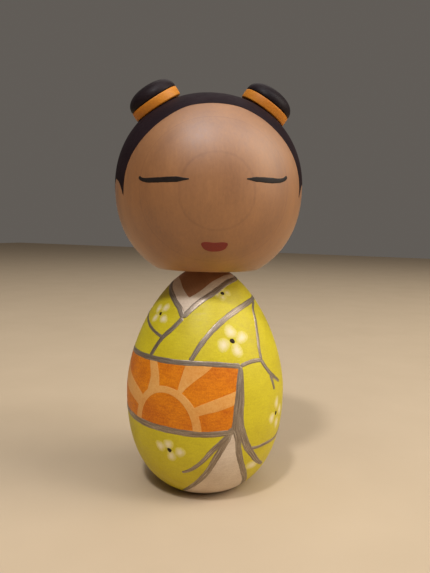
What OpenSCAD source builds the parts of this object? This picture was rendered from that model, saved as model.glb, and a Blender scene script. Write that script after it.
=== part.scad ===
// Kokeshi doll: a turned ball head that turns on an egg-shaped body, with two hair buns on the head.
// The origin is the centre of the base, +Z is up and the front of the kimono faces -Y.
// Left and right are the doll's own.

/* [Body] */
// Largest radius of the body
body_r = 23.5; // [21:0.1:26]
// Height of the body's widest level
body_wide_z = 29.4; // [26:0.1:33]
// Radius of the flat base
base_r = 10.5; // [8:0.1:13]
// Height of the flat shoulder that the head rests on
shoulder_z = 64.7; // [60:0.1:70]
// Radius of the flat shoulder
shoulder_r = 5.4; // [4.8:0.1:7]
// Roundness of the body above its widest level, where 2 is an ellipse
body_top_power = 1.7; // [1.5:0.05:2.2]
// Roundness of the body below its widest level
body_low_power = 2.4; // [2:0.05:2.8]

/* [Head] */
// Largest radius of the head
head_r = 27; // [24:0.1:29]
// Height of the head above its widest level
crown_h = 26.4; // [24:0.1:28]
// Depth of the head below its widest level, down to the flat chin
chin_h = 23.5; // [21:0.1:25]
// Radius of the flat chin
chin_r = 14.8; // [12:0.1:17]
// Roundness of the head above its widest level, where 2 is an ellipse
crown_power = 2.08; // [2:0.01:2.3]
// Roundness of the head below its widest level
cheek_power = 2.2; // [2:0.01:2.4]
// How far the head is turned towards the doll's own left
head_turn = 30; // [-180:1:180]

/* [Neck joint] */
// Gap between the chin and the shoulder
seat_gap = 0.05; // [0.02:0.01:0.2]
// Diameter of the neck peg
neck_peg_d = 6; // [5:0.1:7]
// Depth of the neck peg in the head, where it is glued
neck_peg_in_head = 14; // [8:0.5:18]
// Length of the neck peg below the chin, where it turns in the body
neck_peg_in_body = 12; // [8:0.5:18]
// Radial clearance between the neck peg and the socket in the body
neck_clearance = 0.05; // [0.02:0.01:0.1]

/* [Hair buns] */
// Sideways lean of each bun from the head's own axis
bun_lean = 34; // [25:1:40]
// Lean of each bun towards the face
bun_forward = 5; // [-10:1:10]
// Largest radius of a bun and of its band
bun_r = 7.2; // [6.9:0.1:8.5]
// Height of the domed top of a bun
bun_dome_h = 4.2; // [3.8:0.1:5.2]
// Roundness of the dome, where 2 is an ellipse
bun_power = 2.4; // [2:0.05:3]
// Radius of the waist that the band goes round
bun_waist_r = 5.8; // [5:0.1:6.2]
// Height of the band
band_h = 2.6; // [2:0.1:3]
// Rounded edge of the band
band_edge = 0.35; // [0.1:0.05:0.5]
// Radius of the flat seat that is cut on the head for each bun
bun_seat_r = 6.2; // [6.2:0.1:6.8]
// Diameter of the peg that holds each bun
bun_peg_d = 3; // [2:0.1:3.5]
// Depth of the bun peg in the head
bun_peg_in_head = 6; // [4:0.5:8]
// Depth of the bun peg in the bun
bun_peg_in_bun = 4.6; // [3.6:0.1:5.2]

/* [Hidden] */
$fn = 96;
// Points along each half of a turned outline
outline_steps = 24;
// Spare depth at the blind end of a drilled hole
drill_spare = 0.5;
// Overshoot of a cutting shape past the face that it cuts
cut = 1;
chin_z = shoulder_z + seat_gap;
head_wide_z = chin_z + chin_h;
// Distance of the bun seats from the centre of the head
bun_seat_d = sqrt(pow(head_r, 2) - pow(bun_seat_r, 2));
bun_dome_base = band_h;
skin = "burlywood";
kimono = "gold";
hair = [0.1, 0.08, 0.08];
bare_wood = "tan";

// Distance from the widest level at which a superellipse of radius r and this power has narrowed to flat_r,
// scaled so that it lies h away
function reach(r, h, flat_r, power) = h / pow(1 - pow(flat_r / r, power), 1 / power);

// One half of a turned outline: from the widest level at wide_z to a flat of radius flat_r at wide_z + h * side
function half_outline(r, h, flat_r, power, wide_z, side) =
    let (full = reach(r, h, flat_r, power), last = acos(pow(flat_r / r, power / 2)))
    [for (i = [0:outline_steps])
        let (a = last * i / outline_steps)
        [r * pow(cos(a), 2 / power), wide_z + side * full * pow(sin(a), 2 / power)]];

function reversed(points) = [for (i = [len(points) - 1:-1:0]) points[i]];

// A solid turned about Z from its lower and upper half outlines, which share the widest point
module turned(lower, upper) {
    rotate_extrude()
        polygon(concat(
            [[0, lower[len(lower) - 1][1]]],
            reversed(lower),
            [for (i = [1:len(upper) - 1]) upper[i]],
            [[0, upper[len(upper) - 1][1]]]));
}

// Puts a bun part, modelled on Z with its seat at 0, on the head: side is 1 on the doll's left and -1 on its right
module on_head(side) {
    translate([0, 0, head_wide_z])
        rotate([0, 0, head_turn])
            rotate([bun_forward, side * bun_lean, 0])
                translate([0, 0, bun_seat_d])
                    children();
}

module body() {
    color(kimono)
        difference() {
            turned(
                half_outline(body_r, body_wide_z, base_r, body_low_power, body_wide_z, -1),
                half_outline(body_r, shoulder_z - body_wide_z, shoulder_r, body_top_power, body_wide_z, 1));
            translate([0, 0, shoulder_z - neck_peg_in_body - drill_spare])
                cylinder(h = neck_peg_in_body + drill_spare + cut, r = neck_peg_d / 2 + neck_clearance);
        }
}

module head() {
    color(skin)
        difference() {
            turned(
                half_outline(head_r, chin_h, chin_r, cheek_power, head_wide_z, -1),
                half_outline(head_r, crown_h, 0, crown_power, head_wide_z, 1));
            translate([0, 0, chin_z - cut])
                cylinder(h = neck_peg_in_head + cut, d = neck_peg_d);
            for (side = [-1, 1])
                on_head(side) {
                    cylinder(h = head_r, r = bun_seat_r);
                    translate([0, 0, -bun_peg_in_head])
                        cylinder(h = bun_peg_in_head + cut, d = bun_peg_d);
                }
        }
}

module neck_peg() {
    color(bare_wood)
        translate([0, 0, chin_z - neck_peg_in_body])
            cylinder(h = neck_peg_in_body + neck_peg_in_head, d = neck_peg_d);
}

// A bun: a waist that the band goes round, under a dome
module bun(side) {
    dome = half_outline(bun_r, bun_dome_h, 0, bun_power, bun_dome_base, 1);
    color(hair)
        on_head(side)
            difference() {
                rotate_extrude()
                    polygon(concat([[0, 0], [bun_waist_r, 0], [bun_waist_r, bun_dome_base]], dome));
                translate([0, 0, -cut])
                    cylinder(h = bun_peg_in_bun + cut, d = bun_peg_d);
            }
}

// The band: a ring with rounded outer edges round the waist of a bun
module bun_band(side) {
    color("orange")
        on_head(side)
            rotate_extrude() {
                translate([bun_waist_r, 0])
                    square([bun_r - bun_waist_r - band_edge, band_h]);
                translate([bun_r - band_edge, band_edge])
                    square([band_edge, band_h - 2 * band_edge]);
                for (z = [band_edge, band_h - band_edge])
                    translate([bun_r - band_edge, z])
                        circle(r = band_edge);
            }
}

module bun_peg(side) {
    color(bare_wood)
        on_head(side)
            translate([0, 0, -bun_peg_in_head])
                cylinder(h = bun_peg_in_head + bun_peg_in_bun, d = bun_peg_d);
}

body();
head();
neck_peg();
bun(1);  // bun_left
bun(-1);  // bun_right
bun_band(1);  // bun_band_left
bun_band(-1);  // bun_band_right
bun_peg(1);  // bun_peg_left
bun_peg(-1);  // bun_peg_right
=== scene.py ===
"""A kokeshi doll: a turned wooden head and body, two hair buns with bands, and everything painted on them.

Lengths are in millimetres until a mesh is made, and angles in degrees. A place on the turned surface is an
azimuth and a height: azimuth 0 is the front of the kimono, or of the face, and it grows towards the left.
Left and right are the doll's own.
"""
import math

import bmesh
import bpy
import numpy as np
from mathutils import Matrix, Vector


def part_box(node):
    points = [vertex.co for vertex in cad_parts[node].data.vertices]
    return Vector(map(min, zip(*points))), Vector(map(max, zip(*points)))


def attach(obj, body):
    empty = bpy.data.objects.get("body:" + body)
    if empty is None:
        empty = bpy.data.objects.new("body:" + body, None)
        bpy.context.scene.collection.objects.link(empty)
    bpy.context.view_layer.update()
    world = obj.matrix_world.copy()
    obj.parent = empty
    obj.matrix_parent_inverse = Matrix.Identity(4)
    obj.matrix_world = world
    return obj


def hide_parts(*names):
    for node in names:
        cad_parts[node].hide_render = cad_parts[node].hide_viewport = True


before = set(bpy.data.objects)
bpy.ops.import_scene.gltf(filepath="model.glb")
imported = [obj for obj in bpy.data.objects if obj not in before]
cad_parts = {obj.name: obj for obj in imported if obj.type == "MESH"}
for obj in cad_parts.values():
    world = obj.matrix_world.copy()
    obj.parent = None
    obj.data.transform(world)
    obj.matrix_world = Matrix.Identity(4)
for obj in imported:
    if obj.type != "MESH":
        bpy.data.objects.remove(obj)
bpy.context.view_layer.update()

MM = 0.001

# The shape of the turned pieces that their boxes don't give
BODY_WIDE_Z = 29.4
BODY_BASE_R = 10.5
BODY_SHOULDER_R = 5.4
BODY_TOP_POWER = 1.7
BODY_LOW_POWER = 2.4
HEAD_CHIN_R = 14.8
HEAD_CHIN_H = 23.5
HEAD_CROWN_POWER = 2.08
HEAD_CHEEK_POWER = 2.2
HEAD_TURN = 30
NECK_SOCKET_R = 3.05
NECK_SOCKET_DEPTH = 12.5
NECK_PEG_R = 3
NECK_PEG_IN_HEAD = 14
BUN_LEAN = 34
BUN_FORWARD = 5
BUN_R = 7.2
BUN_DOME_H = 4.2
BUN_POWER = 2.4
BUN_WAIST_R = 5.8
BUN_SEAT_R = 6.2
BUN_PEG_R = 1.5
BUN_PEG_IN_BUN = 4.6
BUN_PEG_IN_HEAD = 6
BAND_H = 2.6

# Radii of the rounded edges, and the chamfers round the neck's two holes
FOOT_ROUND = 0.5
SHOULDER_ROUND = 0.3
CHIN_ROUND = 0.7
BUN_ROUND = 0.35
BAND_ROUND = 0.35
SOCKET_CHAMFER = 0.25
BORE_CHAMFER = 0.3
# Lengths left out of the sides of the body and the head, where the rounded edges lie
FOOT_GAP = 0.6
SHOULDER_GAP = 0.5
CHIN_GAP = 0.9
# Extra rings of points on the flats: their shares of the radius, and the distance from the band's hole
BASE_RING = 0.5
CHIN_RING = 0.6
BAND_RING = 0.4
# Columns of points round the turned pieces, and rows of points up their sides
BODY_COLUMNS = 192
BODY_ROWS = 150
HEAD_COLUMNS = 224
HEAD_ROWS = 170
BUN_COLUMNS = 96
BUN_ROWS = 26
CUTTER_COLUMNS = 64

# Depth of each surface below the outer size: bare wood, and the top of each coat of paint
WOOD_SINK = 0.20
KIMONO_SINK = 0.16
OBI_SINK = 0.13
PETAL_SINK = 0.12
SUN_SINK = 0.11
SILVER_SINK = 0.07
DOT_SINK = 0.08
HEAD_WOOD_SINK = 0.10
HAIR_SINK = 0.03
FACE_PAINT_SINK = 0.05
# How far the underside of a coat reaches into its ground, and how much deeper under a stroke or dab
ROOT = 0.05
UNDER_GAP = 0.02
# Distances from a coat's edge over which its rounded edge rises
EDGE_STEPS = (0.03, 0.12)
# Length of bare wood left along the foot of the body
PAINT_FOOT = 0.6

HEAD_LOW, HEAD_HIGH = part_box("head")
BODY_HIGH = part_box("body")[1]
HEAD_R = HEAD_HIGH.x / MM
CHIN_Z = HEAD_LOW.z / MM
CROWN_Z = HEAD_HIGH.z / MM
BODY_R = BODY_HIGH.x / MM
SHOULDER_Z = BODY_HIGH.z / MM
HEAD_WIDE_Z = CHIN_Z + HEAD_CHIN_H
BUN_SEAT_D = math.sqrt(HEAD_R ** 2 - BUN_SEAT_R ** 2)


# ---- turned surfaces

def superellipse(r, height, flat_r, power, steps=400):
    """Radius and distance along the axis, from the widest level to a flat of radius flat_r, height away."""
    full = height / (1 - (flat_r / r) ** power) ** (1 / power)
    last = math.acos((flat_r / r) ** (power / 2))
    angle = np.linspace(0, last, steps)
    return r * np.cos(angle) ** (2 / power), full * np.sin(angle) ** (2 / power)


class Turned:
    """The outer surface of a turned piece. Lengths on it start at the lower flat's edge."""

    def __init__(self, body, low_z, wide_z, high_z, r, low_r, high_r, low_power, high_power, turn=0):
        below_r, below = superellipse(r, wide_z - low_z, low_r, low_power)
        above_r, above = superellipse(r, high_z - wide_z, high_r, high_power)
        self.r = np.concatenate([below_r[::-1], above_r[1:]])
        self.z = np.concatenate([wide_z - below[::-1], wide_z + above[1:]])
        steps = np.hypot(np.diff(self.r), np.diff(self.z))
        self.length = np.concatenate([[0], np.cumsum(steps)])
        along_r = np.gradient(self.r, self.length)
        along_z = np.gradient(self.z, self.length)
        size = np.hypot(along_r, along_z)
        self.out_r = along_z / size
        self.out_z = -along_r / size
        self.body = body
        self.turn = turn
        self.total = self.length[-1]

    def length_at(self, z):
        return np.interp(z, self.z, self.length)

    def z_at(self, length):
        return np.interp(length, self.length, self.z)

    def radius_at(self, length):
        return np.interp(length, self.length, self.r)

    def outline(self, length, sink):
        """Radius and height of the points at these lengths, sunk below the surface."""
        r = self.radius_at(length) - sink * np.interp(length, self.length, self.out_r)
        z = self.z_at(length) - sink * np.interp(length, self.length, self.out_z)
        return np.maximum(r, 0), np.clip(z, self.z[0], self.z[-1])

    def place(self, azimuth, length, sink):
        """The points at these azimuths and lengths, sunk below the surface."""
        r, z = self.outline(length, sink)
        angle = np.radians(azimuth + self.turn)
        return np.stack([r * np.sin(angle), -r * np.cos(angle), z + 0 * angle], -1)

    def degrees_for(self, distance, length):
        """The azimuth that a distance round the surface covers at this length, kept finite at the axis."""
        return np.degrees(distance / np.maximum(self.radius_at(length), 0.5))


BODY = Turned("body", 0, BODY_WIDE_Z, SHOULDER_Z, BODY_R, BODY_BASE_R, BODY_SHOULDER_R,
              BODY_LOW_POWER, BODY_TOP_POWER)
HEAD = Turned("head", CHIN_Z, HEAD_WIDE_Z, CROWN_Z, HEAD_R, HEAD_CHIN_R, 0,
              HEAD_CHEEK_POWER, HEAD_CROWN_POWER, HEAD_TURN)


# ---- meshes

def add_object(name, data):
    made = bpy.data.objects.new(name, data)
    bpy.context.scene.collection.objects.link(made)
    return made


def make_mesh(name, points, faces, sharp=50, brush=None):
    """A smooth-shaded object from points in millimetres. brush is each point's place in its brush stroke."""
    mesh = bpy.data.meshes.new(name)
    corners = [tuple(p) for p in np.asarray(points) * MM]
    mesh.from_pydata(corners, [], [tuple(int(i) for i in f) for f in faces])
    if brush is not None:
        attribute = mesh.attributes.new("brush", "FLOAT_VECTOR", "POINT")
        attribute.data.foreach_set("vector", np.asarray(brush, np.float32).ravel())
    weld(mesh)
    mesh.shade_smooth()
    mesh.set_sharp_from_angle(angle=math.radians(sharp))
    mesh.validate()
    return add_object(name, mesh)


def weld(mesh, distance=2e-6):
    """Joins points that lie in the same place, which closes seams and poles, and turns the faces outwards."""
    work = bmesh.new()
    work.from_mesh(mesh)
    bmesh.ops.remove_doubles(work, verts=work.verts, dist=distance)
    bmesh.ops.dissolve_degenerate(work, edges=work.edges, dist=distance / 2)
    bmesh.ops.recalc_face_normals(work, faces=work.faces)
    work.to_mesh(mesh)
    work.free()


class Shell:
    """Collects the points, faces and brush places of a piece that is made of several closed parts."""

    def __init__(self):
        self.points = []
        self.faces = []
        self.brush = []
        self.count = 0

    def add(self, points, faces, brush=None):
        points = np.asarray(points, float)
        self.points.append(points)
        self.faces.extend([[i + self.count for i in f] for f in faces])
        self.brush.append(np.zeros_like(points) if brush is None else np.asarray(brush, float))
        self.count += len(points)

    def piece(self, name):
        points, brush = np.concatenate(self.points), np.concatenate(self.brush)
        return make_mesh(name, points, self.faces, brush=brush)


def grid_faces(rows, columns, closed=False):
    """Quads of a grid of points stored row by row. A closed grid joins its last column to its first."""
    faces = []
    for low in range(0, (rows - 1) * columns, columns):
        high = low + columns
        for j in range(columns if closed else columns - 1):
            k = (j + 1) % columns
            faces.append([low + j, low + k, high + k, high + j])
    return faces


def lathe(name, outline, columns, sharp=40):
    """Turns an outline of (radius, height), listed upwards on the outside, about the Z axis."""
    angle = np.linspace(0, 2 * np.pi, columns, endpoint=False)
    r = np.array([p[0] for p in outline])[:, None]
    z = np.array([p[1] for p in outline])[:, None]
    points = np.stack([r * np.sin(angle), -r * np.cos(angle), z + 0 * angle], -1).reshape(-1, 3)
    return make_mesh(name, points, grid_faces(len(outline), columns, closed=True), sharp)


def fillet(corner, start, end, radius, steps=4):
    """Points that round a square corner, from the side of start to the side of end."""
    corner, start, end = (np.array(p, float) for p in (corner, start, end))
    a = (start - corner) / np.linalg.norm(start - corner)
    b = (end - corner) / np.linalg.norm(end - corner)
    turn = np.linspace(0, np.pi / 2, steps)
    return [tuple(corner + a * radius * (1 - np.sin(t)) + b * radius * (1 - np.cos(t))) for t in turn]


# ---- brushwork

# What a degree of azimuth counts for, in millimetres, where points are spaced along a line
AZIMUTH_MM = 0.35
# Spacing of the points of a stroke's line and of an area's edge, and of the rows of a stroke's mesh
LINE_STEP = 0.5
EDGE_STEP = 0.4
ROW_STEP = 0.45
# Columns of points across a stroke, and how many of them each point of its underside stands for
STROKE_COLUMNS = 11
UNDER_EVERY = 4
# Rows of points over each of a stroke's round ends
STROKE_END_ROWS = 6
# Columns of points round a dab, and rings of points from its middle to its edge
DAB_COLUMNS = 28
DAB_RINGS = 7
# How far a dab's edge strays from an oval
RAGGED = 0.08
# Distance between the places of two strokes in the brush marks, so that no two have the same streaks
STREAK_SHIFT = 3.7


def smooth(points, step):
    """A smooth curve through the points, cut into pieces about step millimetres long."""
    p = np.array(points, float)
    gaps = np.hypot(np.diff(p[:, 0]) * AZIMUTH_MM, np.diff(p[:, 1]))
    knots = np.concatenate([[0], np.cumsum(gaps)])
    if len(p) == 2:
        slopes = np.repeat((p[1:] - p[:-1]) / knots[1], 2, axis=0)
    else:
        slopes = np.gradient(p, knots, axis=0)
    where = np.linspace(0, knots[-1], max(3, int(knots[-1] / step) + 2))
    i = np.clip(np.searchsorted(knots, where, side="right") - 1, 0, len(p) - 2)
    gap = (knots[i + 1] - knots[i])[:, None]
    t = ((where - knots[i])[:, None]) / gap
    return ((2 * t ** 3 - 3 * t ** 2 + 1) * p[i] + (t ** 3 - 2 * t ** 2 + t) * gap * slopes[i]
            + (3 * t ** 2 - 2 * t ** 3) * p[i + 1] + (t ** 3 - t ** 2) * gap * slopes[i + 1])


def wobble(distance, seed, share=0.07):
    """A hand's small unsteadiness along a line: a factor near 1."""
    phases = np.random.default_rng(seed).uniform(0, 2 * np.pi, 3)
    waves = np.sin(distance * 0.9 + phases[0]) + 0.6 * np.sin(distance * 2.3 + phases[1])
    return 1 + share * (waves + 0.35 * np.sin(distance * 5.1 + phases[2])) / 1.5


def stroke_rows(surface, points, widths, seed):
    """The rows of a stroke's mesh: how far along it they lie, the azimuth and length of their middles, the
    stroke's direction there, its half width, and its fullness, which falls to 0 at the round ends."""
    line = smooth(points, LINE_STEP)
    length = surface.length_at(line[:, 1])
    round_it = np.gradient(line[:, 0]) * np.radians(surface.radius_at(length))
    along = np.stack([round_it, np.gradient(length)], -1)
    steps = np.linalg.norm(along, axis=1)
    distance = np.concatenate([[0], np.cumsum((steps[1:] + steps[:-1]) / 2)])
    total = distance[-1]
    first, last = widths[0], widths[-1]
    turn = np.linspace(0, np.pi / 2, STROKE_END_ROWS)
    inner = np.arange(first, total - last, ROW_STEP)
    rows = np.concatenate([first * (1 - np.cos(turn[:-1])), inner, total - last * (1 - np.cos(turn[::-1]))])
    middle = [np.interp(rows, distance, values)[:, None] for values in (line[:, 0], length)]
    way = [np.interp(rows, distance, values / steps)[:, None] for values in along.T]
    half = np.interp(rows / total, np.linspace(0, 1, len(widths)), widths) * wobble(rows, seed)
    start = np.clip(rows / first, 0, 1)
    end = np.clip((total - rows) / last, 0, 1)
    return rows, middle, way, half, np.sqrt(1 - (1 - start) ** 2) * np.sqrt(1 - (1 - end) ** 2)


def stroke(shell, surface, points, widths, sink, ground, seed):
    """One stroke of a brush: widths are its half widths, spread evenly from its start to its end. Its top
    lies sink below the surface, and what it is painted on lies ground below the surface."""
    root = ground + ROOT
    rows, (azimuth, at), (round_it, up), half, full = stroke_rows(surface, points, widths, seed)
    across = np.sin(np.linspace(-np.pi / 2, np.pi / 2, STROKE_COLUMNS))
    rise = np.sqrt(np.clip(1 - across ** 6, 0, 1))
    side = across[None, :] * (half * full)[:, None]
    length = at + side * round_it
    turned = azimuth - surface.degrees_for(side * up, at)
    depth = root - (root - sink) * rise[None, :] * np.sqrt(full)[:, None]
    top = surface.place(turned, length, depth).reshape(-1, 3)
    chosen = slice(1, -1, UNDER_EVERY)
    under = surface.place(turned[:, chosen], length[:, chosen], root + UNDER_GAP).reshape(-1, 3)
    faces = [f[::-1] for f in grid_faces(len(rows), STROKE_COLUMNS)]
    count = len(under) // len(rows)
    chains = []
    for i in range(len(rows)):
        below = [len(top) + i * count + k for k in range(count)]
        chains.append([i * STROKE_COLUMNS] + below + [(i + 1) * STROKE_COLUMNS - 1])
    for near, far in zip(chains[:-1], chains[1:]):
        faces += [[near[k + 1], far[k + 1], far[k], near[k]] for k in range(count + 1)]
    brush = np.stack([rows[:, None] + 0 * side, side + seed * STREAK_SHIFT, 0 * side], -1).reshape(-1, 3)
    shell.add(np.concatenate([top, under]), faces, np.concatenate([brush, np.zeros((len(under), 3))]))


def blob(shell, surface, azimuth, z, size, tilt, sink, ground, seed, faint=0.0):
    """One dab of a brush: an uneven oval of half sizes size, turned by tilt, with a soft rounded top. A faint
    dab is thinner paint all over."""
    root = ground + ROOT
    phases = np.random.default_rng(seed).uniform(0, 2 * np.pi, 2)
    around = np.linspace(0, 2 * np.pi, DAB_COLUMNS, endpoint=False)
    rings = np.sin(np.linspace(0, np.pi / 2, DAB_RINGS + 1))[1:]
    edge = 1 + RAGGED * (np.sin(2 * around + phases[0]) + 0.7 * np.sin(3 * around + phases[1]))
    x = rings[:, None] * edge * size[0] * np.cos(around)
    y = rings[:, None] * edge * size[1] * np.sin(around)
    c, s = math.cos(math.radians(tilt)), math.sin(math.radians(tilt))
    at = surface.length_at(z)
    length = at + x * s + y * c
    turned = azimuth + surface.degrees_for(x * c - y * s, length)
    depth = root - (root - sink) * np.sqrt(np.clip(1 - rings ** 4, 0, 1))[:, None] + 0 * x
    top = surface.place(turned, length, depth).reshape(-1, 3)
    middle = surface.place(np.array([azimuth]), np.array([at]), np.array([sink]))
    under = surface.place(np.array([azimuth]), np.array([at]), np.array([root + UNDER_GAP]))
    points = np.concatenate([top, middle, under])
    faces = [f[::-1] for f in grid_faces(DAB_RINGS, DAB_COLUMNS, closed=True)]
    hub = len(top)
    foot = hub + 1
    rim = (DAB_RINGS - 1) * DAB_COLUMNS
    for j in range(DAB_COLUMNS):
        k = (j + 1) % DAB_COLUMNS
        faces.append([hub, j, k])
        faces.append([foot, rim + k, rim + j])
    shift = seed * STREAK_SHIFT
    brush = np.stack([y, x + shift, rings[:, None] + 0 * x + faint], -1).reshape(-1, 3)
    shell.add(points, faces, np.concatenate([brush, [[0, shift, faint]] * 2]))


# ---- painted areas

# An edge further off than NEAR counts as FAR away, and a point less than SNAP from an edge lies on it
NEAR = 12
FAR = 1e9
SNAP = 0.01
# The least share of a triangle's side that a cut leaves at either end
LEAST_CUT = 0.03


def edge_distance(points, line):
    """Distance from each point to a line through places in space, or FAR where the line isn't near."""
    best = np.full(len(points), FAR)
    for a, b in zip(line[:-1], line[1:]):
        ab = b - a
        near = np.abs(points - a).max(1) < NEAR
        if not near.any() or not ab.any():
            continue
        ap = points[near] - a
        t = np.clip(ap @ ab / (ab @ ab), 0, 1)
        best[near] = np.minimum(best[near], np.linalg.norm(ap - t[:, None] * ab, axis=1))
    return best


def is_inside(azimuth, z, polygon):
    """True where (azimuth, z) lies inside the closed polygon."""
    inside = np.zeros(azimuth.shape, bool)
    for (x0, y0), (x1, y1) in zip(polygon, np.roll(polygon, -1, axis=0)):
        if y0 == y1:
            continue
        crosses = (y0 > z) != (y1 > z)
        inside ^= crosses & (azimuth < (x1 - x0) * (z - y0) / (y1 - y0) + x0)
    return inside


class Area:
    """An area of paint. Its edges are smooth curves that meet at corners. closing is the rest of its outline,
    which lies past the surface's own edge or seam."""

    def __init__(self, surface, *edges, closing=()):
        self.surface = surface
        curves = [smooth(e, EDGE_STEP) for e in edges]
        self.outline = np.concatenate(curves + [np.array(closing, float).reshape(-1, 2)])
        self.lines = [surface.place(c[:, 0], surface.length_at(c[:, 1]), 0) for c in curves]

    def depth(self, azimuth, length, points):
        """Distance inside the outline, negative outside it."""
        distance = np.min([edge_distance(points, line) for line in self.lines], axis=0)
        inside = is_inside(azimuth, self.surface.z_at(length), self.outline)
        return np.where(inside, distance, -distance)


def all_of(*depths):
    """The depth inside the paint that covers only what all of these cover."""
    return lambda *where: np.min([depth(*where) for depth in depths], axis=0)


def outside(area):
    """The depth inside the paint that covers all but the area."""
    return lambda *where: -area.depth(*where)


def split(points, triangles, level):
    """Cuts triangles where the points' third number, their depth inside the paint, equals level."""
    points = [tuple(p) for p in points]
    above = [bool(p[2] >= level) for p in points]
    made = {}

    def cut(a, b):
        key = (min(a, b), max(a, b))
        if key not in made:
            p, q = points[key[0]], points[key[1]]
            t = min(1 - LEAST_CUT, max(LEAST_CUT, (level - p[2]) / (q[2] - p[2])))
            made[key] = len(points)
            points.append((p[0] + t * (q[0] - p[0]), p[1] + t * (q[1] - p[1]), level))
        return made[key]

    result = []
    for a, b, c in triangles:
        high = above[a] + above[b] + above[c]
        if high in (0, 3):
            result.append((a, b, c))
            continue
        is_high = high == 1
        if above[b] == is_high and above[a] != is_high:
            a, b, c = b, c, a
        elif above[c] == is_high and above[a] != is_high:
            a, b, c = c, a, b
        ab, ac = cut(a, b), cut(a, c)
        result += [(a, ab, ac), (ab, b, c), (ab, c, ac)]
    return np.array(points), result


def covered(surface, depth, window, step):
    """The points (azimuth, length, depth inside) and the triangles of the area where depth is positive."""
    low_a, high_a, low_s, high_s = window
    widest = surface.radius_at(np.linspace(low_s, high_s, 50)).max()
    columns = max(3, int(math.radians(high_a - low_a) * widest / step) + 1)
    rows = max(3, int((high_s - low_s) / step) + 1)
    azimuth, length = np.meshgrid(np.linspace(low_a, high_a, columns), np.linspace(low_s, high_s, rows))
    azimuth, length = azimuth.ravel(), length.ravel()
    values = depth(azimuth, length, surface.place(azimuth, length, 0))
    triangles = []
    for f in grid_faces(rows, columns):
        if max(values[f]) >= 0:
            triangles += [(f[0], f[1], f[2]), (f[0], f[2], f[3])]
    values = np.where(np.abs(values) < SNAP, 0, values)
    points, triangles = split(np.stack([azimuth, length, values], -1), triangles, 0)
    lowest = [min(points[i][2] for i in t) for t in triangles]
    highest = [max(points[i][2] for i in t) for t in triangles]
    return points, [t for t, low, high in zip(triangles, lowest, highest) if low >= 0 and high > 0]


def film(shell, surface, depth, window, step, sink, ground):
    """A coat of paint over the area where depth is positive, with a rounded edge. window is the azimuths and
    lengths to search, and step the mesh size."""
    root = ground + ROOT
    points, triangles = covered(surface, depth, window, step)
    for level in EDGE_STEPS:
        points, triangles = split(points, triangles, level)
    rise = np.sqrt(np.clip(1 - (1 - np.clip(points[:, 2] / EDGE_STEPS[-1], 0, 1)) ** 2, 0, 1))
    top = surface.place(points[:, 0], points[:, 1], root - (root - sink) * rise)
    inner = points[:, 2] > 0
    below = np.where(inner, np.cumsum(inner) - 1 + len(top), np.arange(len(top)))
    under = surface.place(points[inner, 0], points[inner, 1], root + 0 * points[inner, 0])
    faces = [list(t) for t in triangles] + [[below[i] for i in t[::-1]] for t in triangles]
    used = np.zeros(len(top) + len(under), bool)
    for f in faces:
        used[f] = True
    renumber = np.cumsum(used) - 1
    faces = [[renumber[i] for i in f] for f in faces]
    shell.add(np.concatenate([top, under])[used], faces)


# ---- materials

def tint(red, green, blue):
    """A colour given as 0 to 255 values on a screen, as the linear numbers that a shader takes."""
    screen = np.array([red, green, blue]) / 255
    return (*np.where(screen > 0.04, ((screen + 0.055) / 1.055) ** 2.4, screen / 12.92).tolist(), 1)


def plug(tree, made, key, value):
    """Gives a node's socket its value: a number, a colour, or another node's socket to link."""
    if isinstance(value, bpy.types.NodeSocket):
        tree.links.new(value, made.inputs[key])
    else:
        made.inputs[key].default_value = value


def node(tree, kind, values=(), **settings):
    """A shader node. values are the (socket, value) pairs of its inputs."""
    made = tree.nodes.new("ShaderNode" + kind)
    for key, value in settings.items():
        setattr(made, key, value)
    for key, value in values:
        plug(tree, made, key, value)
    return made


def new_material(name, roughness, **constants):
    """A material with a Principled shader. constants are its sockets' values, named with _ for a space."""
    material = bpy.data.materials.new(name)
    material.use_nodes = True
    tree = material.node_tree
    tree.nodes.clear()
    shader = node(tree, "BsdfPrincipled", [("Roughness", roughness)])
    for key, value in constants.items():
        shader.inputs[key.replace("_", " ")].default_value = value
    node(tree, "OutputMaterial", [("Surface", shader.outputs[0])])
    return material, tree, shader


def vectors(tree, operation, a, b):
    """A node that works on two vectors."""
    return node(tree, "VectorMath", [(0, a), (1, b)], operation=operation).outputs[0]


def object_place(tree):
    """The place on the piece, in metres."""
    return node(tree, "TexCoord").outputs["Object"]


def brush_place(tree):
    """The place along and across a brush stroke, in millimetres."""
    return node(tree, "Attribute", attribute_name="brush").outputs["Vector"]


# The stretch of noise that is the same along every axis
EVEN = (1, 1, 1)


def noise(tree, stretch, scale, detail=3, roughness=0.55, place=object_place):
    """Noise about 0.5, in scale patches to each unit of place, finer along the axes that stretch enlarges."""
    where = vectors(tree, "MULTIPLY", place(tree), stretch)
    values = [("Vector", where), ("Scale", scale), ("Detail", detail), ("Roughness", roughness)]
    return node(tree, "TexNoise", values).outputs["Fac"]


def remap(tree, value, low, high, to_low, to_high):
    """A value stretched from low..high to to_low..to_high, and held there."""
    names = ("Value", "From Min", "From Max", "To Min", "To Max")
    values = zip(names, (value, low, high, to_low, to_high))
    return node(tree, "MapRange", values).outputs["Result"]


def spread(tree, grain, low, high):
    """Noise stretched so that its usual range, 0.3 to 0.7, covers low to high."""
    return remap(tree, grain, 0.3, 0.7, low, high)


def mixed(tree, factor, a, b):
    """Colour a where factor is 0 and b where it is 1."""
    return node(tree, "Mix", [(0, factor), (6, a), (7, b)], data_type="RGBA").outputs[2]


def maths(tree, operation, a, b=0.0):
    return node(tree, "Math", [(0, a), (1, b)], operation=operation).outputs[0]


def bump(tree, shader, height, strength, distance=0.0001):
    made = node(tree, "Bump", [("Strength", strength), ("Distance", distance), ("Height", height)])
    plug(tree, shader, "Normal", made.outputs[0])


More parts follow.
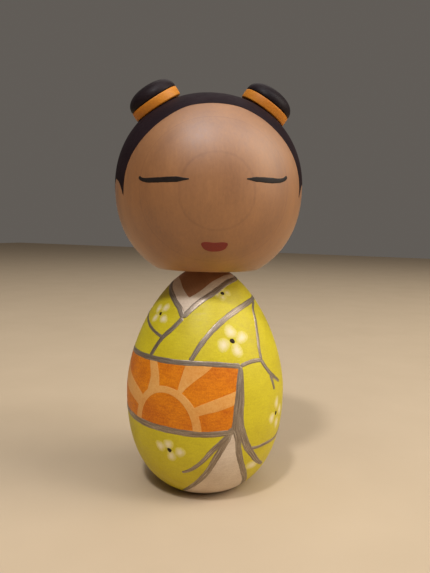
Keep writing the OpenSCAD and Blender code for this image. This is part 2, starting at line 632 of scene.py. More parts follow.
def ramp(tree, value, *stops):
    """A grey from (position, brightness) stops."""
    made = node(tree, "ValToRGB", [("Fac", value)])
    band = made.color_ramp
    while len(band.elements) < len(stops):
        band.elements.new(0.5)
    for element, (position, grey) in zip(band.elements, stops):
        element.position = position
        element.color = (grey, grey, grey, 1)
    return made.outputs["Color"]


# Distance from a turned piece's front back to the heart of the tree, and how far a growth layer wavers
PITH_DISTANCE = 135
LAYER_WAVER = 0.4


def layer_depth(tree, towards, front, first_ring):
    """The depth in metres below a piece's first growth layer. The layers are cylinders about the heart."""
    pith = (Vector(front) - Vector(towards) * PITH_DISTANCE) * MM
    axis = Vector(towards).cross(Vector((0, 0, 1))).cross(Vector(towards)).normalized()
    from_pith = vectors(tree, "SUBTRACT", object_place(tree), tuple(pith))
    across = vectors(tree, "CROSS_PRODUCT", from_pith, tuple(axis))
    radius = node(tree, "VectorMath", [(0, across)], operation="LENGTH").outputs["Value"]
    slow = noise(tree, (1, 1, 0.35), 55, 2)
    waver = remap(tree, slow, 0, 1, -LAYER_WAVER * MM, LAYER_WAVER * MM)
    return maths(tree, "ADD", maths(tree, "SUBTRACT", (PITH_DISTANCE - first_ring) * MM, radius), waver)


def wood(name, light, dark, towards, front, first_ring, ring_gap, coat=0.0):
    """Pale turned wood under a satin varnish. towards is the way that the growth layers face, front the
    piece's foremost point that way, first_ring the first layer's depth below it, and ring_gap the layers'
    thickness."""
    sheen = {"Specular_IOR_Level": 0.6, "Coat_Weight": coat, "Coat_Roughness": 0.55}
    material, tree, shader = new_material(name, 0.5, **sheen)
    depth = layer_depth(tree, towards, front, first_ring)
    phase = maths(tree, "FRACT", maths(tree, "MULTIPLY", depth, 1 / (ring_gap * MM)))
    layers = ramp(tree, phase, (0.0, 0.33), (0.015, 0.33), (0.04, 0.54), (0.5, 0.50), (0.75, 0.38),
                  (0.98, 0.50), (1.0, 0.33))
    fibres = noise(tree, (1, 1, 0.05), 1500, 3, 0.6)
    broad = noise(tree, (1, 1, 0.35), 90, 3)
    flecks = noise(tree, (1, 1, 0.16), 3200, 2)
    pores = noise(tree, (1, 1, 0.6), 1300, 4, 0.7)
    shade = layers
    for grain, strength in ((fibres, 0.06), (broad, 0.22), (pores, 0.16)):
        shade = maths(tree, "ADD", shade, spread(tree, grain, -strength, strength))
    fleck = remap(tree, flecks, 0.60, 0.72, 0.0, 0.14)
    colour = mixed(tree, fleck, mixed(tree, shade, dark, light), dark)
    plug(tree, shader, "Base Color", colour)
    plug(tree, shader, "Roughness", spread(tree, pores, 0.46, 0.62))
    bump(tree, shader, maths(tree, "ADD", pores, maths(tree, "MULTIPLY", fibres, 0.4)), 0.16)
    return material


def paint(name, colour, deep, roughness, specular=0.5, streak=(1, 1, 5)):
    """Satin acrylic paint with specks, scuffs and faint brush marks, which run round the turned work."""
    material, tree, shader = new_material(name, roughness, Specular_IOR_Level=specular)
    cloud = noise(tree, EVEN, 120, 3)
    marks = noise(tree, streak, 420, 4, 0.6)
    grain = noise(tree, EVEN, 2600, 2)
    shade = maths(tree, "ADD", spread(tree, cloud, 0, 0.55), spread(tree, marks, 0, 0.45))
    shade = maths(tree, "ADD", shade, spread(tree, grain, -0.25, 0.25))
    plug(tree, shader, "Base Color", mixed(tree, shade, deep, colour))
    rubbed = noise(tree, (2, 2, 1), 260, 5, 0.7)
    scuffs = remap(tree, rubbed, 0.56, 0.70, 0.0, 0.16)
    gloss = spread(tree, marks, roughness - 0.06, roughness + 0.1)
    plug(tree, shader, "Roughness", maths(tree, "ADD", gloss, scuffs))
    height = maths(tree, "ADD", marks, maths(tree, "MULTIPLY", grain, 0.5))
    bump(tree, shader, height, 0.25, 0.00006)
    return material


def brushed(name, colour, deep, thin, roughness, metallic):
    """Paint laid on by strokes of a loaded brush. Streaks follow each stroke, and thin shows through where
    the brush ran dry."""
    material, tree, shader = new_material(name, roughness, Metallic=metallic)
    streaks = noise(tree, (0.10, 2.6, 1), 1.6, 4, 0.65, brush_place)
    pools = noise(tree, (0.35, 0.7, 1), 1.3, 2, place=brush_place)
    grit = noise(tree, (0.8, 1.5, 1), 2.6, 3, 0.7, brush_place)
    base = mixed(tree, remap(tree, streaks, 0.32, 0.68, 0, 1), deep, colour)
    ridges = remap(tree, streaks, 0.52, 0.75, 0, 1)
    dry = maths(tree, "MULTIPLY", ridges, remap(tree, pools, 0.40, 0.65, 0, 0.85))
    base = mixed(tree, dry, base, thin)
    base = mixed(tree, remap(tree, grit, 0.54, 0.72, 0, 0.7), base, deep)
    plug(tree, shader, "Base Color", base)
    gloss = spread(tree, grit, roughness - 0.08, roughness + 0.14)
    plug(tree, shader, "Roughness", gloss)
    bump(tree, shader, maths(tree, "ADD", streaks, grit), 0.3)
    return material


def petal(name, colour, bright, ground, roughness):
    """Thin paint dabbed on the ground's colour, which shows through towards the rim of each dab."""
    material, tree, shader = new_material(name, roughness)
    streaks = noise(tree, (0.5, 1.6, 0), 1.5, 4, 0.65, brush_place)
    reach = node(tree, "SeparateXYZ", [(0, brush_place(tree))]).outputs["Z"]
    uneven = maths(tree, "ADD", reach, spread(tree, streaks, -0.26, 0.26))
    thin = remap(tree, uneven, 0.25, 0.98, 0.0, 0.95)
    white = mixed(tree, spread(tree, streaks, 0, 1), colour, bright)
    plug(tree, shader, "Base Color", mixed(tree, thin, white, ground))
    bump(tree, shader, streaks, 0.3)
    return material


def facing(azimuth, dip=0):
    """The direction that faces this azimuth, dipping below the horizon."""
    a, d = math.radians(azimuth), math.radians(dip)
    return (math.sin(a) * math.cos(d), -math.cos(a) * math.cos(d), -math.sin(d))


FACE_WAY = facing(HEAD_TURN, 3.5)
FACE_FRONT = Vector((0, 0, HEAD_WIDE_Z)) + Vector(FACE_WAY) * HEAD_R
HEAD_WOOD = wood("head_wood", tint(166, 112, 59), tint(122, 75, 34), FACE_WAY, FACE_FRONT, 1.47, 5.2, 1.0)
BODY_WOOD = wood("body_wood", tint(172, 124, 86), tint(132, 86, 54), facing(-40), (-12, -14, 60), 1.5, 4.4)
PEG_FRONT = (1, -3, SHOULDER_Z)
PEG_WOOD = wood("peg_wood", tint(206, 162, 114), tint(162, 114, 72), facing(15), PEG_FRONT, 0.4, 1.3)
KIMONO = paint("kimono_yellow", tint(209, 194, 32), tint(188, 169, 22), 0.48, 0.4)
OBI = paint("obi_orange", tint(226, 136, 10), tint(184, 88, 4), 0.5, 0.3)
SUN = paint("sun_peach", tint(224, 168, 94), tint(212, 140, 58), 0.5, 0.4, streak=(3, 3, 3))
CLOTH = paint("cloth_white", tint(218, 200, 178), tint(196, 174, 150), 0.5)
SILVER = brushed("silver_lines", tint(172, 157, 138), tint(112, 96, 80), tint(214, 206, 194), 0.42, 0.7)
PETAL = petal("petal_white", tint(222, 206, 154), tint(234, 222, 190), tint(207, 192, 52), 0.5)
DOT = paint("dot_black", tint(46, 28, 12), tint(30, 18, 8), 0.5, 0.2)
EYE = paint("eye_black", tint(36, 27, 24), tint(22, 16, 14), 0.5, 0.25)
LIP = paint("mouth_red", tint(132, 32, 22), tint(108, 22, 16), 0.5)
HAIR = paint("hair_black", tint(40, 28, 32), tint(24, 15, 19), 0.6, 0.06)
BUN = paint("bun_black", tint(36, 26, 29), tint(22, 15, 18), 0.45, 0.1)
BAND = paint("band_orange", tint(206, 132, 32), tint(184, 106, 22), 0.5, 0.35)


def finish_piece(piece, material, body, slot_name, *nodes):
    """Gives a piece its material and its body, and hides the CAD nodes that it stands for."""
    piece.data.materials.append(material)
    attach(piece, body)
    if nodes:
        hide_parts(*nodes)


def coat(name, material, slot_name, surface, sink, ground, *films):
    """A painted piece. Each of its films is a depth, a window and a mesh step."""
    shell = Shell()
    for depth, window, step in films:
        film(shell, surface, depth, window, step, sink, ground)
    finish_piece(shell.piece(name), material, surface.body, slot_name)


# ---- wood

def side_outline(surface, sink, start, end, steps):
    """The (radius, height) points up the side of a turned piece, from start to end along it."""
    return [tuple(map(float, surface.outline(length, sink))) for length in np.linspace(start, end, steps)]


def body_wood():
    side = side_outline(BODY, WOOD_SINK, FOOT_GAP, BODY.total - SHOULDER_GAP, BODY_ROWS)
    base_r = BODY_BASE_R - WOOD_SINK
    shoulder_r = BODY_SHOULDER_R - WOOD_SINK
    socket_foot = SHOULDER_Z - NECK_SOCKET_DEPTH
    outline = [(0, 0), (base_r * BASE_RING, 0)] + fillet((base_r, 0), (0, 0), side[0], FOOT_ROUND) + side
    outline += fillet((shoulder_r, SHOULDER_Z), side[-1], (0, SHOULDER_Z), SHOULDER_ROUND)
    outline += [(NECK_SOCKET_R + SOCKET_CHAMFER, SHOULDER_Z), (NECK_SOCKET_R, SHOULDER_Z - SOCKET_CHAMFER)]
    outline += [(NECK_SOCKET_R, socket_foot), (0, socket_foot)]
    finish_piece(lathe("body_wood", outline, BODY_COLUMNS), BODY_WOOD, "body", "natural_wood", "body")


def bun_frame(side):
    """Puts a bun part, modelled on Z with its seat at 0, on the head: side is 1 on the doll's left."""
    centre = Matrix.Translation((0, 0, HEAD_WIDE_Z * MM)) @ Matrix.Rotation(math.radians(HEAD_TURN), 4, "Z")
    lean = Matrix.Rotation(math.radians(side * BUN_LEAN), 4, "Y")
    forward = Matrix.Rotation(math.radians(BUN_FORWARD), 4, "X")
    return centre @ lean @ forward @ Matrix.Translation((0, 0, BUN_SEAT_D * MM))


def cut_away(piece, cutters):
    """Cuts the cutters out of the piece and removes them."""
    for cutter in cutters:
        modifier = piece.modifiers.new("cut", "BOOLEAN")
        modifier.operation = "DIFFERENCE"
        modifier.solver = "EXACT"
        modifier.object = cutter
    bpy.context.view_layer.update()
    shape = bpy.data.meshes.new_from_object(piece.evaluated_get(bpy.context.evaluated_depsgraph_get()))
    piece.modifiers.clear()
    piece.data = shape
    for cutter in cutters:
        bpy.data.objects.remove(cutter)
    return piece


# Height above its seat to which a bun's cutters reach, clear of the head
CUTTER_TOP = 12


def bun_cutters():
    """The seat and the bore of each bun in the head."""
    cutters = []
    for side in (-1, 1):
        for bottom, r in ((0, BUN_SEAT_R), (-BUN_PEG_IN_HEAD, BUN_PEG_R)):
            outline = [(0, bottom), (r, bottom), (r, CUTTER_TOP), (0, CUTTER_TOP)]
            cutter = lathe("cutter", outline, CUTTER_COLUMNS)
            cutter.data.transform(bun_frame(side))
            cutters.append(cutter)
    return cutters


def head_wood():
    side = side_outline(HEAD, HEAD_WOOD_SINK, CHIN_GAP, HEAD.total, HEAD_ROWS)
    chin_r = HEAD_CHIN_R - HEAD_WOOD_SINK
    bore_top = CHIN_Z + NECK_PEG_IN_HEAD
    outline = [(0, bore_top), (NECK_PEG_R, bore_top), (NECK_PEG_R, CHIN_Z + BORE_CHAMFER)]
    outline += [(NECK_PEG_R + BORE_CHAMFER, CHIN_Z), (chin_r * CHIN_RING, CHIN_Z)]
    outline += fillet((chin_r, CHIN_Z), (0, CHIN_Z), side[0], CHIN_ROUND, 5) + side
    piece = cut_away(lathe("head_wood", outline, HEAD_COLUMNS), bun_cutters())
    piece.data.set_sharp_from_angle(angle=math.radians(40))
    finish_piece(piece, HEAD_WOOD, "head", "natural_wood", "head")


def bun_piece(side, node_name, outline, material, slot_name):
    """A turned part of a bun, set on its seat."""
    piece = lathe(node_name + "_wood", outline, BUN_COLUMNS)
    piece.data.transform(bun_frame(side))
    finish_piece(piece, material, "head", slot_name, node_name)


def bun(side, name):
    r, z = superellipse(BUN_R, BUN_DOME_H, 0, BUN_POWER, BUN_ROWS)
    dome = [(float(a), float(b) + BAND_H) for a, b in zip(r, z)][1:]
    outline = [(0, BUN_PEG_IN_BUN), (BUN_PEG_R, BUN_PEG_IN_BUN), (BUN_PEG_R, 0)]
    outline += [(BUN_WAIST_R, 0), (BUN_WAIST_R, BAND_H)]
    outline += fillet((BUN_R, BAND_H), (BUN_WAIST_R, BAND_H), dome[0], BUN_ROUND, 5) + dome[1:]
    bun_piece(side, name, outline, BUN, "hair_black")


def bun_band(side, name):
    low, high, inner = (BUN_R, 0), (BUN_R, BAND_H), BUN_WAIST_R
    ring = inner + BAND_RING
    outline = [(inner, BAND_H), (inner, 0), (ring, 0)] + fillet(low, (inner, 0), high, BAND_ROUND, 5)
    outline += fillet(high, low, (inner, BAND_H), BAND_ROUND, 5) + [(ring, BAND_H), (inner, BAND_H)]
    bun_piece(side, name, outline, BAND, "band_orange")


def pegs():
    """The pegs are the CAD's own solids. Only their material is new."""
    for name in ("neck_peg", "bun_peg_left", "bun_peg_right"):
        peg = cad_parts[name]
        peg.data.materials.clear()
        peg.data.materials.append(PEG_WOOD)


# ---- kimono

# The doll's centre line at the front, about which its hidden right side repeats the left, and at the back
MIRROR = -6
BACK = MIRROR + 180


def mirrored(points):
    return [(2 * MIRROR - p[0], *p[1:]) for p in points]


# Degrees from the front at which a line that goes right round starts and ends, past the middle of the back
ROUND = 184

# The collar's inner edge goes right round the neck. It starts and ends at the back.
COLLAR_RIGHT = [(-ROUND, 62.4), (-110, 62.3), (-80, 61.5), (-53, 60.4), (-34, 58.9), (-22, 57.6),
               (-11, 56), (-3, 54.6), (3, 52.4)]
COLLAR_LEFT = [(ROUND, 62.4), (103, 62.3), (52, 60.8), (32, 58.6), (22, 57.3), (13, 55.5), (7, 53.8),
                (3, 52.4)]
LAPEL = [(3, 52.4), (-5, 49.3), (-12, 46.9), (-16.5, 44.3), (-20, 41.5)]
LAPEL_LEFT = [(ROUND, 57), (140, 56.8), (100, 56.5), (78, 55.8), (60, 54.5), (45, 52.6), (33, 50),
               (22.5, 46.2), (14.5, 41.5)]
LAPEL_RIGHT = [(-ROUND, 57), (-140, 56.6), (-105, 55.3), (-75, 52.8), (-47, 50.3), (-23.5, 47.9), (-12, 46.8)]
NECK_RIGHT = [(-ROUND, 63.6), (-110, 63.5), (-62, 62.7), (-21, 61), (-6, 59.1), (4, 57.6)]
NECK_LEFT = [(4, 57.6), (17, 59.5), (30, 61.4), (55, 63), (110, 63.5), (ROUND, 63.6)]
SKIRT_RIGHT = [(46.5, 23.6), (44, 23.2), (41, 20.5), (35, 15.9), (27, 9.9), (20, 6.8), (11, 4), (1, 1.8)]
SKIRT_LEFT = [(46.5, 23.6), (48.5, 21.5), (51, 16.6), (55, 12.7), (61, 9), (68.5, 5.5), (76, 2.5)]
OBI_TOP = [(-62, 41.2), (0, 41.1), (35, 40.9), (51.5, 40.2)]
OBI_END = [(51.5, 40.2), (50, 37.3), (48, 32), (46.5, 25.4), (46, 22.8)]
OBI_FOOT = [(46, 22.8), (25, 22.4), (2, 22.8), (-25, 23.2), (-62, 24.5)]
OBI_START = [(-62, 24.5), (-64, 33), (-62, 41.2)]
ARMHOLE = [(98, 56.1), (83, 53.7), (79.5, 51.3), (76.5, 49.3), (74, 46.9), (72, 44.6), (71.5, 41)]
ARM_TO_OBI = [(72, 40.9), (64.5, 41.1), (57.5, 40.8), (51.5, 40.2)]
FORK = [(71, 41.1), (74.5, 39), (79, 37), (84.5, 35.4), (92, 33.6)]
FORK_BRANCH = [(79, 36.6), (81, 34.4), (82.8, 32)]
SLEEVE_FRONT = [(51.4, 39.6), (50.8, 33), (50.2, 27.5), (50.5, 24), (53.6, 20.7), (57.8, 17.5), (63.8, 14.8),
                (71.5, 12), (84, 9.4)]
SLEEVE_FOOT = [(60.5, 17), (67, 16.7), (75, 16.8), (92, 16.8), (110, 18.5), (124, 22.5), (130, 30), (131, 40)]
SKIRT_FOLD = [(43, 22), (37.5, 20), (31, 17.4), (26, 14.9), (20, 12.6), (14.5, 11.1), (8.7, 10.2)]

# The lines of the sleeve and the cuff, which the hidden side repeats, and the other silver lines. Each is its
# points and its half widths from start to end.
SLEEVE_LINES = [
    (ARMHOLE, (0.5, 0.6, 0.6)), (ARM_TO_OBI, (0.55, 0.6, 0.6)), (FORK, (0.65, 0.7, 0.5)),
    (FORK_BRANCH, (0.7, 0.5)), (SLEEVE_FRONT, (0.7, 0.85, 0.95, 1.25, 1.1, 0.85, 0.5)),
    (SLEEVE_FOOT, (0.5, 0.62, 0.6, 0.5))]
ROBE_LINES = [
    (COLLAR_RIGHT, (0.6, 0.65, 0.8, 0.85)), (COLLAR_LEFT, (0.6, 0.75, 0.95, 0.85)),
    (LAPEL, (0.75, 0.75, 0.65)), (LAPEL_LEFT, (0.6, 0.75, 0.88, 0.7)), (LAPEL_RIGHT, (0.55, 0.5, 0.45)),
    (OBI_TOP, (0.8, 0.8, 0.75)), (OBI_FOOT, (0.85, 1.0, 1.0)), (OBI_END, (0.75, 1.0, 1.05)),
    (SKIRT_RIGHT, (1.0, 0.95, 0.85, 0.5)), (SKIRT_LEFT, (1.0, 0.95, 0.95))]
FOLD_LINE = (SKIRT_FOLD, (0.9, 0.85, 0.7, 0.6, 0.45))
OBI_START_LINE = (OBI_START, (0.75, 0.8))
KNOT_EDGE_WIDTHS = (0.8, 0.9, 0.8)
# Where two silver lines cross, one lies a little above the other. These are the step's height and the number
# of steps.
LINE_LIFT = 0.002
LIFT_STEPS = 5
# Where the numbers start that give each line its own unsteadiness
LINE_SEED = 20
KNOT_SEED = 60


def silver_lines():
    shell = Shell()
    lines = ROBE_LINES + SLEEVE_LINES + [FOLD_LINE]
    lines += [(mirrored(points), widths) for points, widths in SLEEVE_LINES] + [OBI_START_LINE]
    for number, (points, widths) in enumerate(lines):
        sink = SILVER_SINK + LINE_LIFT * (number % LIFT_STEPS)
        stroke(shell, BODY, points, widths, sink, WOOD_SINK, LINE_SEED + number)
    for number, edge in enumerate(back_square(KNOT_HALF_WIDE, KNOT_LOW, KNOT_HIGH)):
        sink = SILVER_SINK + LINE_LIFT * number
        stroke(shell, BODY, edge, KNOT_EDGE_WIDTHS, sink, WOOD_SINK, KNOT_SEED + number)
    finish_piece(shell.piece("silver_lines"), SILVER, "body", "line_silver")


# Closings of the areas that reach the body's foot or top, or the head's crown
AT_FOOT = ((ROUND, -1), (-ROUND, -1))
AT_TOP = ((ROUND, 70), (-ROUND, 70))
AT_CROWN = ((ROUND, 130), (-ROUND, 130))
SKIRT_AREA = Area(BODY, SKIRT_RIGHT[::-1], SKIRT_LEFT, closing=((80, -1), (0, -1)))


def body_window(low_azimuth, high_azimuth, low_z, high_z):
    """The part of the body between two azimuths and two heights, as film takes it."""
    return low_azimuth, high_azimuth, BODY.length_at(low_z), BODY.length_at(high_z)


def above_foot(azimuth, length, points):
    """The depth inside the painted part of the body."""
    return length - PAINT_FOOT


def kimono_paint():
    below_collar = Area(BODY, COLLAR_RIGHT, COLLAR_LEFT[::-1], closing=AT_FOOT)
    robe = all_of(below_collar.depth, outside(SKIRT_AREA), above_foot)
    coat("kimono_paint", KIMONO, "kimono_yellow", BODY, KIMONO_SINK, WOOD_SINK,
         (robe, body_window(-180, 180, 0, SHOULDER_Z), 0.7))


def white_cloth_paint():
    above_collar = Area(BODY, COLLAR_RIGHT, COLLAR_LEFT[::-1], closing=AT_TOP)
    neck = Area(BODY, NECK_RIGHT, NECK_LEFT, closing=AT_TOP)
    collar = all_of(above_collar.depth, outside(neck))
    skirt = all_of(SKIRT_AREA.depth, above_foot)
    coat("white_cloth_paint", CLOTH, "cloth_white", BODY, KIMONO_SINK, WOOD_SINK,
         (collar, body_window(-180, 180, 51, SHOULDER_Z), 0.4), (skirt, body_window(-5, 85, 0, 25), 0.4))


def oval(centre_azimuth, centre_z, half_wide, half_high):
    """The depth inside an ellipse on the body, whose half sizes are in millimetres."""
    at = BODY.length_at(centre_z)

    def depth(azimuth, length, points):
        x = np.radians(azimuth - centre_azimuth) * BODY.radius_at(length)
        return (1 - np.hypot(x / half_wide, (length - at) / half_high)) * min(half_wide, half_high)
    return depth


OBI_AREA = Area(BODY, OBI_TOP, OBI_END, OBI_FOOT, OBI_START)
OBI_WINDOW = body_window(-66, 55, 21, 43)
# The half risen sun on the obi: its centre, the half sizes of its disc and of the ring round it, and its rays
SUN_PLACE = (-2.3, 23)
SUN_DISC = (8.3, 9.8)
SUN_RING = (10.7, 11.7)
RAYS = [
    [[(-17, 26), (-27, 27.9), (-44, 30.4), (-63, 34)], [(-63, 34), (-64, 37), (-63, 40)],
     [(-63, 40), (-48, 36.3), (-21, 30.9), (-14, 28)], [(-14, 28), (-17, 26)]],
    [[(-14, 28), (-16.6, 33.1), (-15.5, 36), (-19.5, 40.8)], [(-19.5, 40.8), (-11.8, 40.8)],
     [(-11.8, 40.8), (-8, 37.4), (-6.5, 34), (-6, 28)], [(-6, 28), (-14, 28)]],
    [[(4, 28), (7.3, 34.1), (9.2, 37.3), (11.6, 40.8)], [(11.6, 40.8), (32, 40.8)],
     [(32, 40.8), (27, 39), (18, 36.3), (10.8, 33.4), (7, 28)], [(7, 28), (4, 28)]],
    [[(10, 26), (18.5, 29.5), (30, 31.6), (49, 34.2)], [(49, 34.2), (47.5, 30.4)],
     [(47.5, 30.4), (35, 28.8), (21.5, 27.3), (10, 24)], [(10, 24), (10, 26)]]]
# The obi's square knot on the back, and the pale band across it
KNOT_HALF_WIDE = 30
KNOT_LOW = 21
KNOT_HIGH = 44
KNOT_BAND_LOW = 30
KNOT_BAND_HIGH = 34.5


def back_square(half_wide, low, high, bow=0.8):
    """The four edges of a bowed square on the doll's back."""
    left, right, middle = BACK - half_wide, BACK + half_wide, (low + high) / 2
    return [[(left, high), (BACK, high + bow), (right, high)],
            [(right, high), (right + bow * 3, middle), (right, low)],
            [(right, low), (BACK, low - bow), (left, low)],
            [(left, low), (left - bow * 3, middle), (left, high)]]


def obi_paint():
    knot = Area(BODY, *back_square(KNOT_HALF_WIDE, KNOT_LOW, KNOT_HIGH))
    coat("obi_paint", OBI, "obi_orange", BODY, OBI_SINK, KIMONO_SINK,
         (OBI_AREA.depth, OBI_WINDOW, 0.5), (knot.depth, body_window(125, 222, 19, 47), 0.5))


def sun_paint():
    disc = oval(*SUN_PLACE, *SUN_DISC)
    ring = oval(*SUN_PLACE, *SUN_RING)
    rays = [Area(BODY, *edges) for edges in RAYS]

    def depth(*where):
        shine = np.max([ring(*where)] + [ray.depth(*where) for ray in rays], axis=0)
        return np.min([shine, -disc(*where), OBI_AREA.depth(*where)], axis=0)

    band = Area(BODY, *back_square(KNOT_HALF_WIDE - 1, KNOT_BAND_LOW, KNOT_BAND_HIGH, 0.3))
    coat("sun_paint", SUN, "sun_peach", BODY, SUN_SINK, OBI_SINK,
         (depth, OBI_WINDOW, 0.3), (band.depth, body_window(130, 218, 28, 37), 0.4))


# Flowers: centre azimuth and height, each petal's offset, sizes of the petals and of the dot, and faintness
FLOWERS = [
    (-26, 52.6, [(-2.2, 1.4), (1.1, 2.0), (-1.6, -1.5), (2.2, -1.3)], 1.25, 0.5, 0.1),
    (46.8, 58.8, [(1.5, 0.2), (-0.2, -1.3), (-1.5, -0.3), (0.3, 1.3)], 1.0, 0.55, 0.4),
    (47.3, 46.7, [(-0.2, 2.6), (3.1, 0.8), (1.0, -2.6), (-2.6, -1.0)], 1.6, 0.65, 0.1),
    (1, 16.9, [(-0.2, 1.7), (-2.8, 0.7), (3.1, -0.2), (0.4, -1.8)], 1.35, 0.65, 0.1),
    (86, 24.9, [(0.1, 3.0), (-2.4, -0.9), (1.2, -3.2), (3.0, 0.2)], 1.4, 0.55, 0.1),
    (-98, 48, [(-0.1, 2.5), (2.7, 0.6), (0.4, -2.5), (-2.7, -0.6)], 1.5, 0.6, 0),
    (-100, 27, [(-0.6, 2.6), (2.6, 0.8), (0.6, -2.5), (-2.7, -0.7)], 1.5, 0.6, 0),
    (-76, 12, [(0, 2.4), (2.7, 0.1), (0.2, -2.2), (-2.7, 0.2)], 1.4, 0.6, 0),
    (150, 11, [(-0.2, 2.3), (2.8, 0.4), (0.3, -2.2), (-2.8, 0.2)], 1.4, 0.6, 0),
    (-150, 13, [(0.3, 2.3), (2.8, -0.2), (-0.3, -2.2), (-2.8, 0.3)], 1.4, 0.6, 0),
    (165, 50.5, [(0.1, 2.4), (2.6, 0.4), (-0.3, -2.4), (-2.7, -0.1)], 1.4, 0.6, 0),
    (126, 48, [(0.3, 2.5), (2.6, -0.4), (-0.4, -2.4), (-2.6, 0.4)], 1.4, 0.6, 0),
    (119, 31, [(0.2, 2.4), (2.5, 0.6), (-0.2, -2.4), (-2.5, -0.3)], 1.4, 0.6, 0)]

# Half sizes of a petal and of a dot, as shares of the flower's sizes
PETAL_SHAPE = np.array([1.4, 1.25])
DOT_SHAPE = np.array([1.05, 1.2])
DOT_SEED = 90
# How much further each flower's dot is turned than the last one's
DOT_TURN = 20
# The smudge of white at the foot of the left sleeve: azimuth, height, half sizes and tilt
SMUDGE = (67, 11, (3.2, 1.8), -10)
SMUDGE_FAINT = 0.1
SMUDGE_SEED = 77


def flower_paint():
    petals, dots = Shell(), Shell()
    for number, (azimuth, z, offsets, size, dot, faint) in enumerate(FLOWERS):
        at = BODY.length_at(z)
        for k, (x, y) in enumerate(offsets):
            place = (azimuth + float(BODY.degrees_for(x, at)), float(BODY.z_at(at + y)))
            tilt = math.degrees(math.atan2(y, x))
            seed = number * 5 + k
            blob(petals, BODY, *place, size * PETAL_SHAPE, tilt, PETAL_SINK, KIMONO_SINK, seed, faint)
        tilt = DOT_TURN * number
        blob(dots, BODY, azimuth, z, dot * DOT_SHAPE, tilt, DOT_SINK, KIMONO_SINK, DOT_SEED + number)
    blob(petals, BODY, *SMUDGE, PETAL_SINK, KIMONO_SINK, SMUDGE_SEED, SMUDGE_FAINT)
    finish_piece(petals.piece("flower_petals"), PETAL, "body", "cloth_white")
    finish_piece(dots.piece("flower_dots"), DOT, "body", "dot_black")


# ---- face and hair

# The hairline from the back of the head, the back edges of the side locks, and the line round the face
HAIRLINE_RIGHT = [(-ROUND, 71), (-150, 71), (-122, 72.5), (-106, 76), (-95, 82), (-86, 87.5), (-78, 89.8)]
LOCK_RIGHT_BACK = [(-78, 89.8), (-71, 89), (-65, 86.5), (-62.8, 83.6)]
FOREHEAD = [(-62.8, 83.6), (-61.8, 87.3), (-58, 93.4), (-49.5, 99.4), (-38, 104.4), (-24, 107.8),
            (-9, 108.8), (7, 108.9), (22, 108.2), (36, 105.8), (47, 102), (56, 97), (61.2, 91.8), (63, 88),
            (62.8, 83.6)]
LOCK_LEFT_BACK = [(62.8, 83.6), (65, 86.5), (71, 89), (78, 89.8)]
HAIRLINE_LEFT = [(78, 89.8), (86, 87.5), (95, 82), (106, 76), (122, 72.5), (150, 71), (ROUND, 71)]
# Radius of the hole that the hair leaves for each bun
BUN_HOLE_R = 6.35


def clear_of_buns(azimuth, length, points):
    """The depth outside the holes for the buns."""
    centre = np.array([0, 0, HEAD_WIDE_Z])
    depths = []
    for side in (-1, 1):
        axis = np.array(bun_frame(side).to_3x3() @ Vector((0, 0, 1)))
        along = (points - centre) @ axis
        across = np.linalg.norm(points - centre - along[:, None] * axis, axis=1)
        depths.append(np.where(along > 0, across - BUN_HOLE_R, FAR))
    return np.min(depths, axis=0)


def hair_paint():
    over = Area(HEAD, HAIRLINE_RIGHT, LOCK_RIGHT_BACK, FOREHEAD, LOCK_LEFT_BACK, HAIRLINE_LEFT,
                closing=AT_CROWN)
    window = (-180, 180, HEAD.length_at(70), HEAD.total)
    coat("hair_paint", HAIR, "hair_black", HEAD, HAIR_SINK, HEAD_WOOD_SINK,
         (all_of(over.depth, clear_of_buns), window, 0.6))


# The closed eyes, each from its outer end, and their half widths
EYE_RIGHT = [(-46.3, 89.5), (-44.6, 88.9), (-42, 88.6), (-35, 88.5), (-25, 88.6), (-14.7, 88.7)]
EYE_LEFT = [(45.4, 90.5), (43.2, 89.8), (39.5, 89.3), (34, 89.1), (25, 89.1), (16.3, 89.1)]
EYE_WIDTHS = (0.45, 0.6, 0.7, 0.76, 0.68, 0.15)
EYE_SEED = 7
MOUTH_TOP = [(-8.7, 72.4), (-8.3, 72.9), (-6.8, 73.1), (0, 73), (7, 73.1), (8.7, 72.9), (9, 72.4)]
MOUTH_FOOT = [(9, 72.4), (7.8, 71.4), (4.7, 70.8), (0.6, 70.6), (-3.5, 70.7), (-7.2, 71.4), (-8.7, 72.4)]


def eye_lines():
    shell = Shell()
    for number, eye in enumerate((EYE_RIGHT, EYE_LEFT)):
        stroke(shell, HEAD, eye, EYE_WIDTHS, FACE_PAINT_SINK, HEAD_WOOD_SINK, EYE_SEED + number)
    finish_piece(shell.piece("eye_lines"), EYE, "head", "dot_black")


def lips():
    window = (-11, 11, HEAD.length_at(69.5), HEAD.length_at(74.5))
    coat("lips", LIP, "mouth_red", HEAD, FACE_PAINT_SINK, HEAD_WOOD_SINK,
         (Area(HEAD, MOUTH_TOP, MOUTH_FOOT).depth, window, 0.15))


# ---- camera, light and floor

# Millimetres and degrees
CAMERA_AZIMUTH = 25
CAMERA_DISTANCE = 171.3
CAMERA_Z = 77.4
CAMERA_ASIDE = 2.38
CAMERA_PITCH = 6
CAMERA_ROLL = 1.13
CAMERA_LENS = 36.44
CAMERA_SENSOR = 36


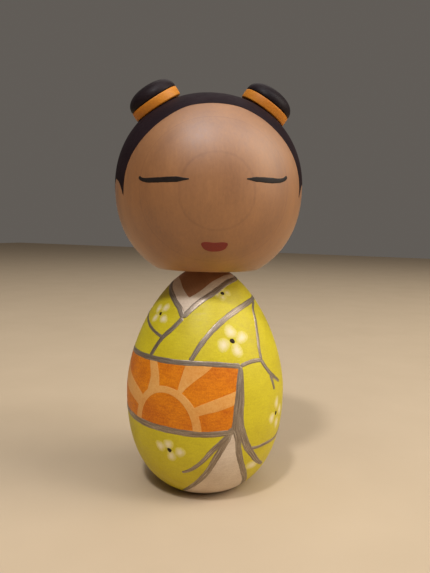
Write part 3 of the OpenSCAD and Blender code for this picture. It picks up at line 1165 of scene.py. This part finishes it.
def camera():
    data = bpy.data.cameras.new("camera")
    data.lens = CAMERA_LENS
    data.sensor_width = CAMERA_SENSOR
    data.clip_start = 0.01
    made = add_object("camera", data)
    a = math.radians(CAMERA_AZIMUTH)
    away = Vector((math.sin(a), -math.cos(a), 0))
    aside = Vector((math.cos(a), math.sin(a), 0))
    made.location = (away * CAMERA_DISTANCE + aside * CAMERA_ASIDE + Vector((0, 0, CAMERA_Z))) * MM
    turn = Matrix.Rotation(a, 4, "Z") @ Matrix.Rotation(math.radians(90 - CAMERA_PITCH), 4, "X")
    made.rotation_euler = (turn @ Matrix.Rotation(math.radians(CAMERA_ROLL), 4, "Z")).to_euler()
    bpy.context.scene.camera = made


# Azimuth and elevation in degrees, distance and size in metres, power in watts, and colour. The small key
# light casts the head's crisp shadow, and the window light whitens the left lapel.
LIGHTS = {
    "key_light": (8, 56.5, 0.9, 0.08, 3.6, (0.98, 0.97, 1.0)),
    "top_light": (34, 70, 0.9, 1.0, 4.9, (0.97, 0.98, 1.0)),
    "window_light": (86, 50, 0.9, 0.3, 1.5, (0.96, 0.97, 1.0)),
    "side_light": (106, 30, 0.9, 0.7, 4.9, (1.0, 0.93, 0.82)),
    "back_light": (200, 50, 1.0, 0.7, 0.8, (1.0, 0.96, 0.92))}
LIGHT_TARGET = (0, 0, 0.06)
WORLD_COLOUR = (1.0, 0.90, 0.80, 1)
WORLD_STRENGTH = 0.12
FLOOR_HALF = 1.5


def area_light(name, azimuth, elevation, distance, size, power, colour):
    """A soft round light that looks at the middle of the doll."""
    data = bpy.data.lights.new(name, "AREA")
    data.shape = "DISK"
    data.size = size
    data.energy = power
    data.color = colour
    made = add_object(name, data)
    back = Vector(facing(azimuth, -elevation))
    made.location = Vector(LIGHT_TARGET) + back * distance
    made.rotation_euler = back.to_track_quat("Z", "Y").to_euler()


def floor():
    """A plain pale card."""
    corners = [(x * FLOOR_HALF, y * FLOOR_HALF, 0) for x, y in ((-1, -1), (1, -1), (1, 1), (-1, 1))]
    mesh = bpy.data.meshes.new("floor")
    mesh.from_pydata(corners, [], [(0, 1, 2, 3)])
    material, tree, shader = new_material("floor_card", 0.8)
    soft = noise(tree, EVEN, 30, 3)
    plug(tree, shader, "Base Color", mixed(tree, soft, tint(186, 165, 136), tint(196, 175, 146)))
    mesh.materials.append(material)
    add_object("floor", mesh)


def studio():
    """The faint light all round, the lights and the floor."""
    scene = bpy.context.scene
    scene.view_settings.view_transform = "Standard"
    world = bpy.data.worlds.new("studio")
    world.use_nodes = True
    background = world.node_tree.nodes["Background"]
    background.inputs["Color"].default_value = WORLD_COLOUR
    background.inputs["Strength"].default_value = WORLD_STRENGTH
    scene.world = world
    for name, values in LIGHTS.items():
        area_light(name, *values)
    floor()


# ---- the doll

camera()
studio()
body_wood()
head_wood()
for side, hand in ((1, "left"), (-1, "right")):
    bun(side, "bun_" + hand)
    bun_band(side, "bun_band_" + hand)
pegs()
kimono_paint()
white_cloth_paint()
obi_paint()
sun_paint()
silver_lines()
flower_paint()
hair_paint()
eye_lines()
lips()
